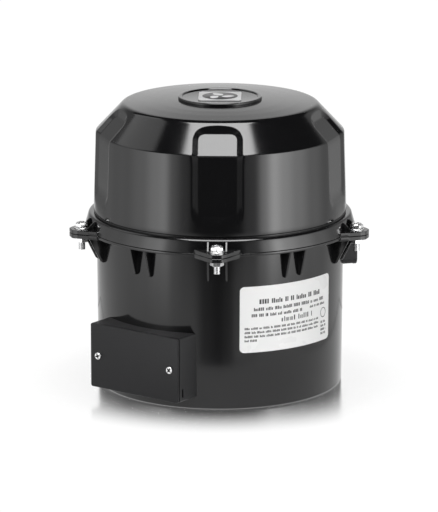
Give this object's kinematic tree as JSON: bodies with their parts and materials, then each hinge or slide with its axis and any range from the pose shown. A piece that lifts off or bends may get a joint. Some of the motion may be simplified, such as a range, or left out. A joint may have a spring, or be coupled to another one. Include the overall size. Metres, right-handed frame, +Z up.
{
  "type": "air blower",
  "caption": "Canister air blower with a bolted domed lid, wiring box, side intake hood and bottom outlet socket.",
  "frame": {"origin": "centre of the outlet socket's mouth, in the plane of the base", "axes": "+Z up along the blower's axis; -Y towards the front clamp"},
  "size_m": [0.282, 0.273, 0.2706],
  "materials": {
    "gloss_black_abs": "glossy injection-moulded black ABS",
    "box_black": "satin black moulded plastic",
    "zinc_steel": "bright zinc-plated steel",
    "inset_plate": "light grey printed metal plate",
    "label_film": "white polyester label film",
    "seal_rubber": "black elastomer",
    "foam": "open-cell charcoal foam",
    "pressed_steel": "pressed galvanised sheet",
    "cast_aluminium": "as cast",
    "bearing_steel": "ground steel",
    "lamination_steel": "stacked laminations",
    "copper_winding": "enamelled copper",
    "carbon": "pressed carbon",
    "brass": "stamped brass",
    "spring_steel": "spring wire",
    "black_wire": "black insulation",
    "white_wire": "white insulation",
    "green_wire": "green insulation",
    "connector_plastic": "orange moulded caps",
    "ground_green": "green-dyed zinc",
    "protector_plastic": "phenolic case"
  },
  "bodies": {
    "base": {"black_lead": "black_wire", "brush_end_bracket": "cast_aluminium", "chamber_foam": "foam", "clamp_nuts": "zinc_steel", "fan_end_bracket": "cast_aluminium", "fan_shell": "pressed_steel", "green_lead": "green_wire", "ground_screw": "ground_green", "hood_screws": "zinc_steel", "housing_gasket": "seal_rubber", "intake_duct": "box_black", "intake_hood": "box_black", "intake_screen": "box_black", "junction_box": "box_black", "junction_box_screws": "zinc_steel", "left_brush_holder": "brass", "left_brush_spring": "spring_steel", "lower_bearing": "bearing_steel", "lower_housing": "gloss_black_abs", "motor_gasket": "seal_rubber", "motor_mount_screws": "zinc_steel", "motor_through_bolts": "zinc_steel", "partition_plate": "pressed_steel", "partition_screws": "zinc_steel", "rating_label": "label_film", "right_brush_holder": "brass", "right_brush_spring": "spring_steel", "stage_diffuser": "cast_aluminium", "stator_core": "lamination_steel", "stator_windings": "copper_winding", "thermal_protector": "protector_plastic", "upper_bearing": "bearing_steel", "white_lead": "white_wire", "wire_connectors": "connector_plastic", "wire_grommet": "seal_rubber"},
    "lid": {"upper_housing": "gloss_black_abs", "clamp_bolts": "zinc_steel", "clamp_washers": "zinc_steel", "medallion": "gloss_black_abs", "nameplate_inset": "inset_plate", "acoustic_liner": "foam"},
    "rotor": {"motor_shaft": "bearing_steel", "armature_core": "lamination_steel", "armature_windings": "copper_winding", "commutator": "copper_winding", "impeller_lower": "cast_aluminium", "impeller_upper": "cast_aluminium", "fan_spacer": "cast_aluminium", "lower_spacer": "cast_aluminium", "fan_washer": "zinc_steel", "shaft_nut": "zinc_steel"},
    "box_cover": {"junction_cover": "box_black", "cover_screws": "zinc_steel"},
    "left_brush": {"left_brush": "carbon"},
    "right_brush": {"right_brush": "carbon"}
  },
  "joints": [
    {"name": "lid_lift", "type": "slide", "parent": "base", "child": "lid", "axis": [0, 0, 1], "range_m": [0, 0.16]},
    {"name": "rotor_spin", "type": "hinge", "parent": "base", "child": "rotor", "pos_m": [0, 0, 0.1], "axis": [0, 0, 1], "continuous": true},
    {"name": "cover_off", "type": "slide", "parent": "base", "child": "box_cover", "axis": [-0.5878, -0.809, 0], "range_m": [0, 0.06]},
    {"name": "left_brush_travel", "type": "slide", "parent": "base", "child": "left_brush", "axis": [-1, 0, 0], "range_m": [0, 0.004], "stiffness_N_per_m": 400, "springref_m": -0.005, "deforming": ["left_brush_spring"]},
    {"name": "right_brush_travel", "type": "slide", "parent": "base", "child": "right_brush", "axis": [1, 0, 0], "range_m": [0, 0.004], "stiffness_N_per_m": 400, "springref_m": -0.005, "deforming": ["right_brush_spring"]}
  ]
}
